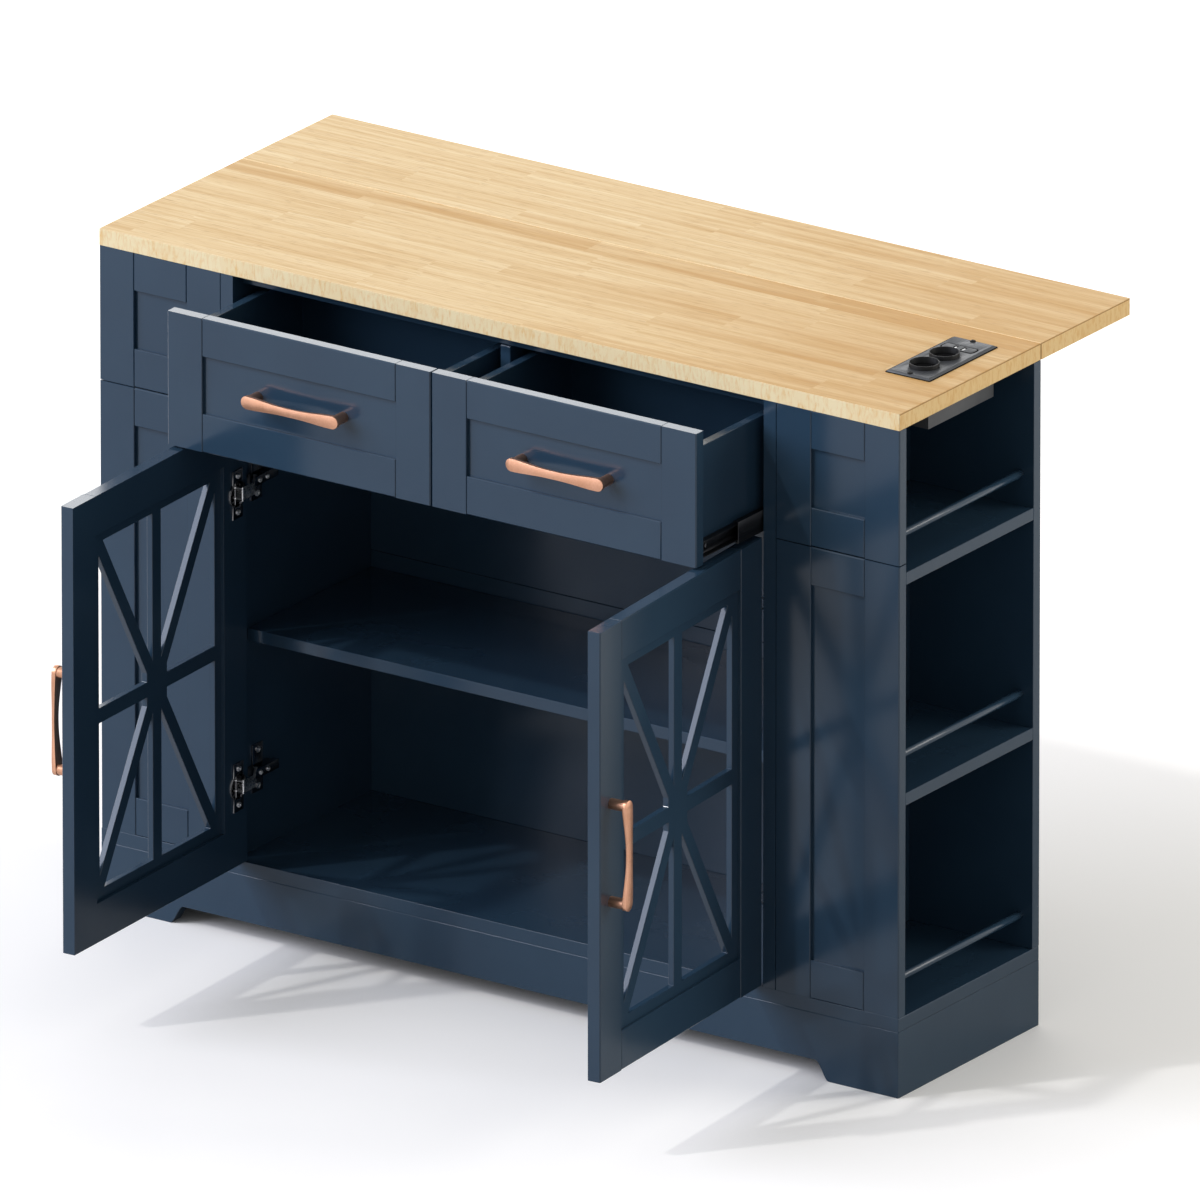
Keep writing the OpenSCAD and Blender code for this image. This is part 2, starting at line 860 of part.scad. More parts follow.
// Puts the left drawer, drawn closed, at its distance out
module slid(out) {
    translate([0, -out, 0]) children();
}

module drawer_front() {
    color(NAVY) translate([gap - bay_x, front_y, drawer_z])
        panel_frame(drawer_front_w, drawer_front_h, drawer_front_t, rail_w, recess, field_t);
}

module drawer_field() {
    color(NAVY) translate([gap - bay_x, front_y, drawer_z])
        panel_field(drawer_front_w, drawer_front_h, rail_w, recess, field_t);
}

// Sides and back of the drawer box, grooved for the base
module drawer_box() {
    y0 = front_y + drawer_front_t;
    x0 = -slot_mid - box_w / 2;
    x1 = -slot_mid + box_w / 2;
    z = [box_z, box_z + box_h];
    color(NAVY) difference() {
        union() {
            board([x0, x0 + box_t], [y0, y0 + box_l], z);
            board([x1 - box_t, x1], [y0, y0 + box_l], z);
            board([x0, x1], [y0 + box_l - box_t, y0 + box_l], z);
        }
        drawer_base_blank(0.2);
    }
}

module drawer_base_blank(slack = 0) {
    y0 = front_y + drawer_front_t;
    half = box_w / 2 - box_t / 2 + slack;
    board([-slot_mid - half, half - slot_mid], [y0, y0 + box_l - box_t / 2 + slack],
          [box_z + 10, box_z + 10 + base_t]);
}

module drawer_base() {
    color(NAVY) drawer_base_blank();
}

module drawer_handle() {
    translate([gap - bay_x + drawer_front_w / 2, front_y + recess, drawer_z + drawer_front_h / 2])
        bow_handle();
}

module left_drawer_front() {
    slid(left_drawer_out) drawer_front();
}

module left_drawer_field() {
    slid(left_drawer_out) drawer_field();
}

module left_drawer_box() {
    slid(left_drawer_out) drawer_box();
}

module left_drawer_base() {
    slid(left_drawer_out) drawer_base();
}

module left_drawer_handle() {
    slid(left_drawer_out) drawer_handle();
}

module left_drawer_runners() {
    runners(left_drawer_out);
}

module left_slide_middles() {
    slide_middles(left_drawer_out);
}

module right_drawer_front() {
    right() slid(right_drawer_out) drawer_front();
}

module right_drawer_field() {
    right() slid(right_drawer_out) drawer_field();
}

module right_drawer_box() {
    right() slid(right_drawer_out) drawer_box();
}

module right_drawer_base() {
    right() slid(right_drawer_out) drawer_base();
}

module right_drawer_handle() {
    right() slid(right_drawer_out) drawer_handle();
}

module right_drawer_runners() {
    right() runners(right_drawer_out);
}

module right_slide_middles() {
    right() slide_middles(right_drawer_out);
}

// ---------------------------------------------------------------- drop leaf and brackets

module leaf_board() {
    color(OAK) board([-half_w, half_w], [back_y + seam, back_y + leaf_d], [under_z, island_h]);
}

// Repeats a bracket piece, drawn about X = 0, at both brackets
module at_brackets() {
    for (s = [-1, 1]) translate([s * bracket_x, 0, 0]) children();
}

// Wall channel with both its pins: the leaf's hinge pin and the brace pin
module bracket_channel() {
    low = brace_z - 22;
    high = under_z - 3;
    deep = back_y + pin_off + 5.5;
    board([-wall_half, wall_half], [back_y, back_y + bracket_sheet], [low, high]);
    for (x = [-wall_half, wall_half - bracket_sheet])
        board([x, x + bracket_sheet], [back_y, deep], [low, high]);
    for (z = [brace_z, pin_z])
        translate([-wall_half - 1, pin_y, z]) rotate([0, 90, 0])
            cylinder(h = 2 * wall_half + 2, r = pin_r);
}

module bracket_channels() {
    color(GRAPHITE) at_brackets() bracket_channel();
}

// Cheek of an arm: a round ear on the hinge pin, then a low flange that clears the brace
// pin when the arm hangs down
module arm_cheek() {
    tip_y = pin_y + arm_l;
    flange_z = pin_z + pin_r + 0.8;
    difference() {
        union() {
            translate([pin_y, pin_z]) circle(r = 6.5);
            polygon([[pin_y - 5, under_z], [pin_y - 5, pin_z], [pin_y + 6, pin_z],
                     [pin_y + 14, flange_z], [tip_y, flange_z], [tip_y, under_z]]);
        }
        translate([pin_y, pin_z]) circle(r = pin_r + running);
    }
}

// Arm under the leaf: a channel open downwards whose cheeks turn on the hinge pin
module leaf_arm() {
    board([-arm_half_w, arm_half_w], [pin_y - 5, pin_y + arm_l], [under_z - bracket_sheet, under_z]);
    for (x = [-arm_half_w, arm_half_w - bracket_sheet]) along_x(x, x + bracket_sheet) arm_cheek();
}

module leaf_arms() {
    color(GRAPHITE) at_brackets() leaf_arm();
}

// Brace: a bar that turns on the brace pin, its tip under the leaf inside the arm
module leaf_brace() {
    tip = [pin_y + brace_l * sin(brace_lean), brace_z + brace_l * cos(brace_lean)];
    along_x(-brace_half, brace_half) difference() {
        bar([pin_y, brace_z], tip, brace_bar);
        translate([pin_y, brace_z]) circle(r = pin_r + running);
    }
}

module leaf_braces() {
    color(GRAPHITE) at_brackets() leaf_brace();
}

// ---------------------------------------------------------------- nodes

plinth_front();
plinth_back();
plinth_ends();
centre_leg();
bottom_board();
side_left();
side_right();
back_panels();
drawer_deck();
drawer_divider();
inner_shelf();
shelf_pins();
top_stretchers();
tower_left_upper();
tower_left_lower();
tower_right_upper();
tower_right_lower();
tower_fields();
tower_back_left();
tower_back_right();
end_shelves_left();
end_shelves_right();
guard_rails_left();
guard_rails_right();
worktop();
power_housing();
power_plate();
plate_screws();
socket_wells();
usb_module();
slide_channels();
hinge_arms();
bracket_channels();
left_door_frame();
left_door_lattice();
left_door_handle();
left_hinge_cups();
left_hinge_links();
right_door_frame();
right_door_lattice();
right_door_handle();
right_hinge_cups();
right_hinge_links();
left_drawer_front();
left_drawer_field();
left_drawer_box();
left_drawer_base();
left_drawer_handle();
left_drawer_runners();
left_slide_middles();
right_drawer_front();
right_drawer_field();
right_drawer_box();
right_drawer_base();
right_drawer_handle();
right_drawer_runners();
right_slide_middles();
leaf_board();
leaf_arms();
leaf_braces();
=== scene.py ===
import json
import math

import bmesh
import bpy
from mathutils import Matrix, Vector


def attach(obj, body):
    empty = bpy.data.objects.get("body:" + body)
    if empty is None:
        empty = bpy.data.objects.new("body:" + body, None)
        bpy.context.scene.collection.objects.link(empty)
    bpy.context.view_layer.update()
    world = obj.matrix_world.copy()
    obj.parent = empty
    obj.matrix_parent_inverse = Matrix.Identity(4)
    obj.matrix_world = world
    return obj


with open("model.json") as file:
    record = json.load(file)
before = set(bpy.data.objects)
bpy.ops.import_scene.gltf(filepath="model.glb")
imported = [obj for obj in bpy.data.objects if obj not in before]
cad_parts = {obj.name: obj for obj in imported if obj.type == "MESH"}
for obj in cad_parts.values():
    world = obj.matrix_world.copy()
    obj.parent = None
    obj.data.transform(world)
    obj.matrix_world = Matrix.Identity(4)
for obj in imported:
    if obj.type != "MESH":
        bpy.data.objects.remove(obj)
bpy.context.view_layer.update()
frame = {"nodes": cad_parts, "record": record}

print("frame loaded with", len(frame["nodes"]), "nodes")


camera = {
    "azimuth": 34.33,
    "elevation": 20.25,
    "frameWidth": 1.4901,      # metres across the picture, at the middle of the island
    "lens": 1400,              # so long that lines stay parallel
    "sensor": 36,
    "clip": (10, 40),          # metres seen before and behind the island
    "target": (0, 0, 0.45),
    "right": 0.0391,           # how far the picture's middle lies from the target
    "up": 0.0326,
}


def placeCamera(c):
    a, e = math.radians(c["azimuth"]), math.radians(c["elevation"])
    back = Vector((math.sin(a) * math.cos(e), -math.cos(a) * math.cos(e), math.sin(e)))
    right = Vector((math.cos(a), math.sin(a), 0))
    up = back.cross(right)
    data = bpy.data.cameras.new("camera")
    data.lens, data.sensor_width = c["lens"], c["sensor"]
    distance = c["frameWidth"] / data.sensor_width * c["lens"]
    before, behind = c["clip"]
    data.clip_start, data.clip_end = distance - before, distance + behind
    made = bpy.data.objects.new("camera", data)
    made.matrix_world = Matrix((right, up, back)).transposed().to_4x4()
    made.location = Vector(c["target"]) + right * c["right"] + up * c["up"] + back * distance
    bpy.context.scene.collection.objects.link(made)
    bpy.context.scene.camera = made


placeCamera(camera)
print("camera placed")


def toLinear(hexColour):
    channels = [int(hexColour[i:i + 2], 16) / 255 for i in (1, 3, 5)]
    return [c / 12.92 if c <= 0.04045 else ((c + 0.055) / 1.055) ** 2.4 for c in channels] + [1]


def addNode(tree, kind, settings=None, links=None):
    # settings name a property or a socket; a link starts at a node, or at (node, output)
    node = tree.nodes.new("ShaderNode" + kind)
    for name, value in (settings or {}).items():
        if isinstance(name, str) and hasattr(node, name):
            setattr(node, name, value)
        else:
            node.inputs[name].default_value = toLinear(value) if isinstance(value, str) else value
    for name, source in (links or {}).items():
        start, output = source if isinstance(source, tuple) else (source, 0)
        tree.links.new(start.outputs[output], node.inputs[name])
    return node


def newMaterial(name):
    material = bpy.data.materials.new(name)
    material.use_nodes = True
    tree = material.node_tree
    return material, tree, tree.nodes["Principled BSDF"], (addNode(tree, "TexCoord"), "Object")


navyLacquer = {
    "base": "#2D4457", "deep": "#2A4053",
    "cloud": 0.14,             # metres across a slow change of tone
    "peel": 0.0035,            # orange peel, drawn coarser than the real 1 to 2 mm so that it shows
    "peelBump": {"Strength": 0.05, "Distance": 0.0001},
    "wiping": (9, 9, 3),       # slow changes of gloss to the metre
    "roughness": (0.15, 0.2),
    "ior": 1.5, "specular": 0.38,
}


def makeNavyLacquer(f):
    # fibreboard sprayed with satin lacquer: an even colour, with dim but clear reflections
    material, tree, shader, place = newMaterial("navyLacquer")
    cloud = addNode(tree, "TexNoise", {"Scale": 1 / f["cloud"], "Detail": 3}, {"Vector": place})
    tint = addNode(tree, "MapRange", {"From Min": 0.35, "From Max": 0.65}, {"Value": cloud})
    colour = addNode(tree, "Mix", {"data_type": "RGBA", 6: f["deep"], 7: f["base"]}, {0: tint})
    tree.links.new(colour.outputs[2], shader.inputs["Base Color"])
    wiped = addNode(tree, "Mapping", {"Scale": f["wiping"]}, {"Vector": place})
    wipe = addNode(tree, "TexNoise", {"Scale": 1, "Detail": 4}, {"Vector": wiped})
    low, high = f["roughness"]
    gloss = addNode(tree, "MapRange", {"From Min": 0.3, "From Max": 0.7, "To Min": low, "To Max": high},
                    {"Value": wipe})
    tree.links.new(gloss.outputs[0], shader.inputs["Roughness"])
    peel = addNode(tree, "TexNoise", {"Scale": 1 / f["peel"], "Detail": 1}, {"Vector": place})
    bump = addNode(tree, "Bump", f["peelBump"], {"Height": peel})
    tree.links.new(bump.outputs[0], shader.inputs["Normal"])
    shader.inputs["IOR"].default_value = f["ior"]
    shader.inputs["Specular IOR Level"].default_value = f["specular"]
    return material


rubberwood = {
    "light": "#F2DAAB", "mid": "#E5C691", "dark": "#CA9C5A", "pore": "#A97A42",
    # the edge and end colours are paler than the top's: partly the edge grain's own colour, partly
    # painted light, the ends most
    "edge": "#FFECBE", "edgeFigure": "#F0C074",
    "end": "#FFDC9E", "endFigure": "#E9B265",
    "stave": (0.34, 0.043),    # length and width of a stave
    "seam": 0.156,             # where the leaf meets the fixed top, along y
    "jump": (7, 0.09, 0.05),   # how far apart in the log two staves may be cut
    "ring": 0.0058,            # growth rings, drawn a little coarse so that they show
    "bands": (2.4, 48, 48),    # soft bands to the metre, along, across and down
    "fibre": (0.16, 0.0026),   # length and width of a streak of fibres, drawn coarser so that it shows
    "poreSize": (0.022, 0.0017),
    "edgeBlock": 0.052,        # width of a block of upright grain on the long edges
    "edgeGrain": (0.0043, 0.016),  # width and height of a fleck in it
    # how strongly each pattern darkens the wood
    "bandTone": {"From Min": 0.3, "From Max": 0.68, "To Max": 0.6},
    "staveTone": 0.11,
    "ringTone": 0.16,
    # painted shade: the top darkens steadily towards +x, as if less light reached its right half
    "paintedShadeAlongX": {"From Min": -0.05, "From Max": 0.5, "To Max": 0.42},   # grows along x
    "seamTone": 0.36,          # the stave in front of the seam is the darkest
    "fibreTone": {"From Min": 0.45, "From Max": 0.75, "To Max": 0.48},
    "poreTone": {"From Min": 0.6, "From Max": 0.72, "To Max": 0.36},
    "fleckTone": {"From Min": 0.46, "From Max": 0.74, "To Max": 0.7},
    "blockTone": 0.16,
    # fine brown lines where the end grain meets the top and the seam
    "arris": 0.8982,           # height from which the end grain darkens to a line
    "seamLine": 0.0015,
    "lineTone": 0.8,
    "roughness": (0.54, 0.66),
    "poreDepth": -0.6,         # against the height of the fibres
    "relief": {"Strength": 0.2, "Distance": 0.0003},
    "ior": 1.47, "specular": 0.3,
}


def cutStaves(tree, place, axes, f):
    # rows of staves, each row shifted and each stave cut from its own place in the log
    length, width = f["stave"]
    across = addNode(tree, "Math", {"operation": "MULTIPLY_ADD", 1: 1 / width, 2: -f["seam"] / width},
                     {0: (axes, 1)})
    row = addNode(tree, "Math", {"operation": "FLOOR"}, {0: across})
    shift = addNode(tree, "TexWhiteNoise", {"noise_dimensions": "1D"}, {"W": row})
    along = addNode(tree, "Math", {"operation": "MULTIPLY_ADD", 1: 1 / length}, {0: (axes, 0), 2: shift})
    number = addNode(tree, "Math", {"operation": "FLOOR"}, {0: along})
    stave = addNode(tree, "CombineXYZ", {2: 3.7}, {0: row, 1: number})   # 3.7 only picks the draw
    chance = addNode(tree, "TexWhiteNoise", {"noise_dimensions": "3D"}, {"Vector": stave})
    jump = addNode(tree, "VectorMath", {"operation": "MULTIPLY", 1: f["jump"]}, {0: (chance, 1)})
    inLog = addNode(tree, "VectorMath", {"operation": "ADD"}, {0: place, 1: jump})
    return row, chance, inLog


def drawFace(tree, axes, row, chance, inLog, f):
    # the broad faces: rings, soft bands, streaks of fibre and short pores along the stave
    drawn = addNode(tree, "Mapping", {"Scale": (0.1, 1, 1)}, {"Vector": inLog})
    rings = addNode(tree, "TexWave", {"wave_type": "RINGS", "rings_direction": "X", "Distortion": 5,
                                      "Scale": math.pi / 10 / f["ring"], "Detail": 3,
                                      "Detail Scale": 0.6, "Detail Roughness": 0.6}, {"Vector": drawn})
    wide = addNode(tree, "Mapping", {"Scale": f["bands"]}, {"Vector": inLog})
    bands = addNode(tree, "TexNoise", {"Scale": 1, "Detail": 4, "Roughness": 0.65}, {"Vector": wide})
    long, thin = f["fibre"]
    combed = addNode(tree, "Mapping", {"Scale": (1 / long, 1 / thin, 1 / thin)}, {"Vector": inLog})
    fibre = addNode(tree, "TexNoise", {"Scale": 1, "Detail": 2, "Roughness": 0.6}, {"Vector": combed})
    long, thin = f["poreSize"]
    pricked = addNode(tree, "Mapping", {"Scale": (1 / long, 1 / thin, 1 / thin)}, {"Vector": inLog})
    pores = addNode(tree, "TexNoise", {"Scale": 1, "Detail": 1}, {"Vector": pricked})

    tone = addNode(tree, "MapRange", f["bandTone"], {"Value": bands})
    tone = addNode(tree, "Math", {"operation": "MULTIPLY_ADD", 1: f["staveTone"]}, {0: chance, 2: tone})
    tone = addNode(tree, "Math", {"operation": "MULTIPLY_ADD", 1: f["ringTone"]},
                   {0: (rings, 1), 2: tone})
    # painted shade, growing towards +x
    paintedShade = addNode(tree, "MapRange", f["paintedShadeAlongX"], {"Value": (axes, 0)})
    tone = addNode(tree, "Math", {"operation": "ADD"}, {0: paintedShade, 1: tone})
    lastRow = addNode(tree, "Math", {"operation": "COMPARE", 1: -1, 2: 0.5}, {0: row})
    tone = addNode(tree, "Math", {"operation": "MULTIPLY_ADD", 1: f["seamTone"]}, {0: lastRow, 2: tone})

    # light to mid for the lower half of the tone, then on to dark
    deep = addNode(tree, "MapRange", {"From Max": 0.5}, {"Value": tone})
    face = addNode(tree, "Mix", {"data_type": "RGBA", 6: f["light"], 7: f["mid"]}, {0: deep})
    deep = addNode(tree, "MapRange", {"From Min": 0.5, "From Max": 1.1}, {"Value": tone})
    face = addNode(tree, "Mix", {"data_type": "RGBA", 7: f["dark"]}, {0: deep, 6: (face, 2)})
    streak = addNode(tree, "MapRange", f["fibreTone"], {"Value": fibre})
    face = addNode(tree, "Mix", {"data_type": "RGBA", 7: f["dark"]}, {0: streak, 6: (face, 2)})
    prick = addNode(tree, "MapRange", f["poreTone"], {"Value": pores})
    face = addNode(tree, "Mix", {"data_type": "RGBA", 7: f["pore"]}, {0: prick, 6: (face, 2)})
    return face, fibre, pores


def drawEdge(tree, place, axes, facing, row, f):
    # the edges: short upright flecks, in blocks on the long sides
    block = addNode(tree, "Math", {"operation": "MULTIPLY_ADD", 1: 1 / f["edgeBlock"]},
                    {0: (axes, 0), 2: row})
    block = addNode(tree, "Math", {"operation": "FLOOR"}, {0: block})
    chance = addNode(tree, "TexWhiteNoise", {"noise_dimensions": "1D"}, {"W": block})
    inBlock = addNode(tree, "VectorMath", {"operation": "ADD"}, {0: place, 1: (chance, 1)})
    thin, long = f["edgeGrain"]
    upright = addNode(tree, "Mapping", {"Scale": (1 / thin, 1 / thin, 1 / long)}, {"Vector": inBlock})
    fleck = addNode(tree, "TexNoise", {"Scale": 1, "Detail": 4, "Roughness": 0.62, "Distortion": 0.6},
                    {"Vector": upright})
    tone = addNode(tree, "MapRange", f["fleckTone"], {"Value": fleck})
    tone = addNode(tree, "Math", {"operation": "MULTIPLY_ADD", 1: f["blockTone"]}, {0: chance, 2: tone})
    # the pale edge and end colours carry painted light as well as the grain's own tone
    edge = addNode(tree, "Mix", {"data_type": "RGBA", 6: f["edge"], 7: f["edgeFigure"]}, {0: tone})
    end = addNode(tree, "Mix", {"data_type": "RGBA", 6: f["end"], 7: f["endFigure"]}, {0: tone})

    topLine = addNode(tree, "Math", {"operation": "GREATER_THAN", 1: f["arris"]}, {0: (axes, 2)})
    seamLine = addNode(tree, "Math", {"operation": "COMPARE", 1: f["seam"], 2: f["seamLine"]},
                       {0: (axes, 1)})
    line = addNode(tree, "Math", {"operation": "MAXIMUM"}, {0: topLine, 1: seamLine})
    line = addNode(tree, "Math", {"operation": "MULTIPLY", 1: f["lineTone"]}, {0: line})
    end = addNode(tree, "Mix", {"data_type": "RGBA", 7: f["pore"]}, {0: line, 6: (end, 2)})
    onEnd = addNode(tree, "Math", {"operation": "ABSOLUTE"}, {0: (facing, 0)})
    onEnd = addNode(tree, "Math", {"operation": "GREATER_THAN", 1: 0.4}, {0: onEnd})
    return addNode(tree, "Mix", {"data_type": "RGBA"}, {0: onEnd, 6: (edge, 2), 7: (end, 2)})


def makeRubberwood(f):
    # butcher block of rubberwood, sanded and oiled: pale straight grain in staves, low sheen
    material, tree, shader, place = newMaterial("oiledRubberwood")
    axes = addNode(tree, "SeparateXYZ", None, {0: place})
    # the board's own directions, so that the leaf keeps its faces when it folds
    facing = addNode(tree, "SeparateXYZ", None, {0: (place[0], "Normal")})
    row, chance, inLog = cutStaves(tree, place, axes, f)
    face, fibre, pores = drawFace(tree, axes, row, chance, inLog, f)
    edge = drawEdge(tree, place, axes, facing, row, f)
    onEdge = addNode(tree, "Math", {"operation": "ABSOLUTE"}, {0: (facing, 2)})
    onEdge = addNode(tree, "Math", {"operation": "LESS_THAN", 1: 0.6}, {0: onEdge})
    colour = addNode(tree, "Mix", {"data_type": "RGBA"}, {0: onEdge, 6: (face, 2), 7: (edge, 2)})
    tree.links.new(colour.outputs[2], shader.inputs["Base Color"])
    low, high = f["roughness"]
    dull = addNode(tree, "MapRange", {"From Min": 0.3, "From Max": 0.8, "To Min": low, "To Max": high},
                   {"Value": fibre})
    tree.links.new(dull.outputs[0], shader.inputs["Roughness"])
    height = addNode(tree, "Math", {"operation": "MULTIPLY_ADD", 1: f["poreDepth"]},
                     {0: pores, 2: fibre})
    bump = addNode(tree, "Bump", f["relief"], {"Height": height})
    tree.links.new(bump.outputs[0], shader.inputs["Normal"])
    shader.inputs["IOR"].default_value = f["ior"]
    shader.inputs["Specular IOR Level"].default_value = f["specular"]
    return material


metals = {
    # zinc casting, tumbled and plated in copper: warm and satin
    "satinCopperPlate": {"colour": "#D6A387", "shade": "#C99577", "roughness": 0.36,
                         "grain": (500, 500, 500), "bump": 0.04, "metallic": 1},
    # pressed steel, tumbled and nickel plated: soft reflections, white where it meets the light
    "nickelPlatedSteel": {"colour": "#E4E4E4", "shade": "#D2D3D5", "roughness": 0.28,
                          "grain": (60, 400, 400), "bump": 0.02, "metallic": 1},
    # pressed steel, polished and nickel plated: clear reflections; its colour much darker than the other
    # nickel's, a painted shade for the dark inside that it mirrors
    "shadedNickelSteel": {"colour": "#8A8B8E", "shade": "#77787B", "roughness": 0.1,
                         "grain": (60, 400, 400), "bump": 0.02, "metallic": 1},
    # rolled steel in black zinc: dark, with a grey sheen along the rolling
    "blackZincSteel": {"colour": "#47484B", "shade": "#333437", "roughness": 0.34,
                       "grain": (400, 20, 400), "bump": 0.05, "metallic": 1},
    # folded steel with a black powder coat: nearly matt and finely grained
    "blackPowderCoat": {"colour": "#141516", "shade": "#101112", "roughness": 0.55,
                        "grain": (900, 900, 900), "bump": 0.1, "metallic": 0, "specular": 0.25},
    # aluminium plate, brushed along its length and anodised grey: fine streaks, soft glare
    "brushedAnodisedPlate": {"colour": "#525456", "shade": "#434548", "roughness": 0.5,
                             "grain": (1100, 16, 1100), "bump": 0.06, "metallic": 0.5},
}
metalSurface = {
    "cloud": 45,               # slow changes of tone to the metre
    "shading": {"From Min": 0.7, "From Max": 1.3},
    "gloss": (0.85, 1.2),      # the roughness of the smoothest and dullest grain, against the mean
    "relief": 0.0002,
}


def makeMetal(name, f, s):
    material, tree, shader, place = newMaterial(name)
    stretched = addNode(tree, "Mapping", {"Scale": f["grain"]}, {"Vector": place})
    grain = addNode(tree, "TexNoise", {"Scale": 1, "Detail": 3, "Roughness": 0.6}, {"Vector": stretched})
    cloud = addNode(tree, "TexNoise", {"Scale": s["cloud"], "Detail": 2}, {"Vector": place})
    tone = addNode(tree, "Math", {"operation": "ADD"}, {0: grain, 1: cloud})
    tone = addNode(tree, "MapRange", s["shading"], {"Value": tone})
    colour = addNode(tree, "Mix", {"data_type": "RGBA", 6: f["colour"], 7: f["shade"]}, {0: tone})
    tree.links.new(colour.outputs[2], shader.inputs["Base Color"])
    low, high = (f["roughness"] * share for share in s["gloss"])
    gloss = addNode(tree, "MapRange", {"From Min": 0.3, "From Max": 0.7, "To Min": low, "To Max": high},
                    {"Value": grain})
    tree.links.new(gloss.outputs[0], shader.inputs["Roughness"])
    bump = addNode(tree, "Bump", {"Strength": f["bump"], "Distance": s["relief"]}, {"Height": grain})
    tree.links.new(bump.outputs[0], shader.inputs["Normal"])
    shader.inputs["Metallic"].default_value = f["metallic"]
    shader.inputs["Specular IOR Level"].default_value = f.get("specular", 0.5)
    return material


plastics = {
    # moulded ABS from a finely sparked mould: matt grey
    "greyAbsHousing": {"colour": "#4D4F51", "shade": "#454749", "roughness": 0.5, "specular": 0.5},
    "greyAbsInsert": {"colour": "#434547", "shade": "#3C3E40", "roughness": 0.6, "specular": 0.5},
    # moulded nylon: black, with a low sheen
    "blackNylon": {"colour": "#0E0F10", "shade": "#0A0B0C", "roughness": 0.5, "specular": 0.2},
    # glass-filled nylon of the contact carriers: off-white, smooth
    "whiteNylon": {"colour": "#ECECE8", "shade": "#E4E4E0", "roughness": 0.35, "specular": 0.5},
    # cut from rubber sheet: black and quite dull, with no gleam even against the light; it also fills
    # the ports as painted shade
    "blackRubberAndShade": {"colour": "#0B0B0C", "shade": "#080809", "roughness": 0.95, "specular": 0.08},
}
plasticSurface = {
    "grit": 0.0009,            # the mould's grain, drawn coarser than the real 0.1 mm so that it shows
    "gritBump": {"Strength": 0.1, "Distance": 0.0001},
    "cloud": 30,               # slow changes of tone to the metre
    "ior": 1.53,
}


def makePlastic(name, f, s):
    material, tree, shader, place = newMaterial(name)
    grit = addNode(tree, "TexNoise", {"Scale": 1 / s["grit"], "Detail": 2}, {"Vector": place})
    cloud = addNode(tree, "TexNoise", {"Scale": s["cloud"], "Detail": 2}, {"Vector": place})
    tone = addNode(tree, "MapRange", {"From Min": 0.35, "From Max": 0.65}, {"Value": cloud})
    colour = addNode(tree, "Mix", {"data_type": "RGBA", 6: f["colour"], 7: f["shade"]}, {0: tone})
    tree.links.new(colour.outputs[2], shader.inputs["Base Color"])
    bump = addNode(tree, "Bump", s["gritBump"], {"Height": grit})
    tree.links.new(bump.outputs[0], shader.inputs["Normal"])
    shader.inputs["Roughness"].default_value = f["roughness"]
    shader.inputs["IOR"].default_value = s["ior"]
    shader.inputs["Specular IOR Level"].default_value = f["specular"]
    return material


metalOf = {name: makeMetal(name, f, metalSurface) for name, f in metals.items()}
plasticOf = {name: makePlastic(name, f, plasticSurface) for name, f in plastics.items()}
finishOfSlot = {
    "navy_paint": makeNavyLacquer(navyLacquer),
    "oiled_wood": makeRubberwood(rubberwood),
    "copper_plate": metalOf["satinCopperPlate"],
    "nickel_steel": metalOf["nickelPlatedSteel"],
    "black_zinc": metalOf["blackZincSteel"],
    "black_coat": metalOf["blackPowderCoat"],
    "plate_grey": metalOf["brushedAnodisedPlate"],
    "housing_grey": plasticOf["greyAbsHousing"],
    "usb_grey": plasticOf["greyAbsInsert"],
    "socket_black": plasticOf["blackNylon"],
}
print("finishes made:", 2 + len(metalOf) + len(plasticOf))


# the solids: their finish, and edges softened as the real parts' are
slotOfNode = {row["node"]: row["material_slot"] for row in frame["record"]["subparts"]}
# the hinge cups and arms take the darker nickel, a painted shade
shadedHingeNodes = ["left_hinge_cups", "right_hinge_cups", "hinge_arms"]

softEdges = {
    "board": {"width": 0.0009, "segments": 2, "angle": 50, "smooth": False},
    "lattice": {"width": 0.0005, "segments": 1, "angle": 50, "smooth": False},
    "frame": {"width": 0.0008, "segments": 1, "angle": 50, "smooth": False},
    "hardware": {"width": 0.0002, "segments": 2, "angle": 35, "smooth": True},
    "round": {"width": 0.0006, "segments": 2, "angle": 40, "smooth": True},
}
# every node that isn't named here is a board
edgeKind = {
    "frame": ["tower_left_upper", "tower_left_lower", "tower_right_upper", "tower_right_lower",
              "left_door_frame", "right_door_frame", "left_drawer_front", "right_drawer_front"],
    "hardware": ["power_plate", "plate_screws", "socket_wells", "usb_module", "slide_channels",
                 "hinge_arms", "bracket_channels", "left_hinge_cups", "right_hinge_cups",
                 "left_hinge_links", "right_hinge_links", "left_drawer_runners",
                 "right_drawer_runners", "left_slide_middles", "right_slide_middles", "leaf_arms",
                 "leaf_braces", "shelf_pins"],
    "round": ["guard_rails_left", "guard_rails_right", "centre_leg", "power_housing",
              "left_door_handle", "right_door_handle", "left_drawer_handle", "right_drawer_handle"],
    "lattice": ["left_door_lattice", "right_door_lattice"],
}


def dressNode(name, solid, edge):
    finish = metalOf["shadedNickelSteel"] if name in shadedHingeNodes else finishOfSlot[slotOfNode[name]]
    solid.data.materials.clear()
    solid.data.materials.append(finish)
    solid.data.polygons.foreach_set("use_smooth", [edge["smooth"]] * len(solid.data.polygons))
    weld = solid.modifiers.new("weld", "WELD")
    weld.merge_threshold = 0.00001
    bevel = solid.modifiers.new("softEdge", "BEVEL")
    bevel.width, bevel.segments = edge["width"], edge["segments"]
    bevel.limit_method, bevel.angle_limit = "ANGLE", math.radians(edge["angle"])
    bevel.harden_normals = edge["smooth"]


